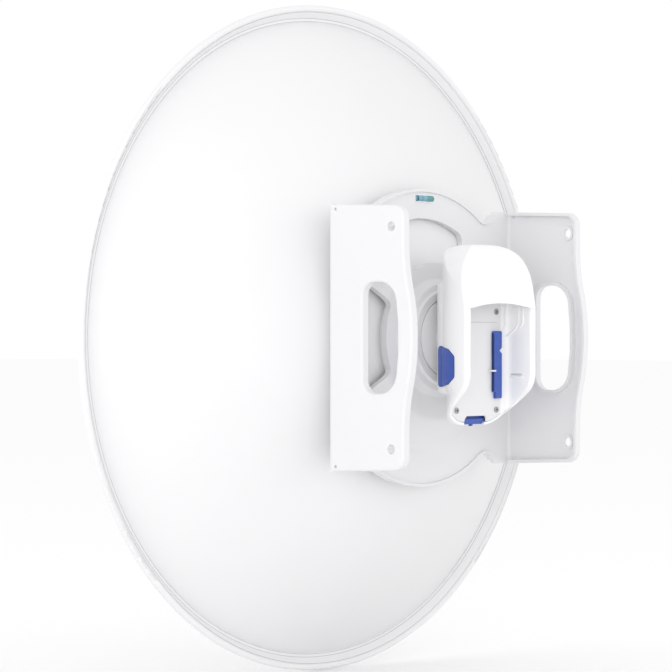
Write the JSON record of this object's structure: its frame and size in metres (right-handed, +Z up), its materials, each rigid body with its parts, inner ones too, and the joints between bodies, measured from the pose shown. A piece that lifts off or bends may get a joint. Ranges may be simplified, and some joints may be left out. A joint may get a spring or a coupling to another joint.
{
  "type": "wireless_bridge",
  "caption": "Outdoor wireless bridge: round dish reflector with a U-shaped mounting bracket, a bubble level, a feed and a clip-fitted radio pod with blue release buttons.",
  "frame": {"origin": "On the dish axis, in the rear plane of the bracket's base plate", "axes": "+X right when looking along the beam, +Y the way the beam leaves, +Z up when mounted"},
  "size_m": [0.649, 0.249, 0.649],
  "materials": {
    "dish_white": "satin powder coat",
    "bracket_white": "satin powder coat",
    "steel": "plain",
    "bare_aluminium": "machined",
    "pod_white": "smooth moulded",
    "inner_plastic": "moulded",
    "release_blue": "fine moulded",
    "seal_rubber": "plain",
    "board_green": "solder mask",
    "vial_teal": "clear tinted",
    "bubble_clear": "clear"
  },
  "bodies": {
    "bridge": {"dish_reflector": "dish_white", "hub_spacer_ring": "bracket_white", "hub_backing_ring": "bracket_white", "mounting_bracket": "bracket_white", "hub_screws": "steel", "hub_washers": "steel", "hub_nuts": "steel", "level_holder": "pod_white", "level_vial": "vial_teal", "level_bubble": "bubble_clear", "feed_flange": "pod_white", "feed_flange_screws": "steel", "feed_tube": "bare_aluminium", "feed_lock_ring": "bare_aluminium", "feed_seal": "seal_rubber", "subreflector_support": "inner_plastic", "subreflector": "bare_aluminium", "feed_radome": "pod_white", "pod_front_shell": "pod_white", "pod_housing": "pod_white", "bay_panel": "pod_white", "bay_screws": "steel", "housing_gasket": "seal_rubber", "radio_board": "board_green", "shield_can": "steel", "heat_spreader": "bare_aluminium", "wave_launcher": "bare_aluminium", "data_port": "steel", "fibre_port": "inner_plastic", "port_board": "board_green", "button_spring_left": "steel", "button_spring_right": "steel", "tab_spring": "steel"},
    "left_release": {"release_button_left": "release_blue", "latch_plate_left": "steel"},
    "right_release": {"release_button_right": "release_blue", "latch_plate_right": "steel"},
    "lock": {"lock_slider": "release_blue"},
    "tab": {"release_tab": "release_blue"}
  },
  "joints": [
    {"name": "left_button_press", "type": "slide", "parent": "bridge", "child": "left_release", "axis": [1, 0, 0], "range_m": [0, 0.0025], "stiffness_N_per_m": 1500, "springref_m": -0.001, "deforming": ["button_spring_left"]},
    {"name": "right_button_press", "type": "slide", "parent": "bridge", "child": "right_release", "axis": [-1, 0, 0], "range_m": [0, 0.0025], "stiffness_N_per_m": 1500, "springref_m": -0.001, "deforming": ["button_spring_right"]},
    {"name": "lock_slide", "type": "slide", "parent": "bridge", "child": "lock", "axis": [0, 0, 1], "range_m": [0, 0.006]},
    {"name": "tab_press", "type": "slide", "parent": "bridge", "child": "tab", "axis": [0, 0, 1], "range_m": [0, 0.002], "stiffness_N_per_m": 800, "springref_m": -0.001, "deforming": ["tab_spring"]}
  ]
}
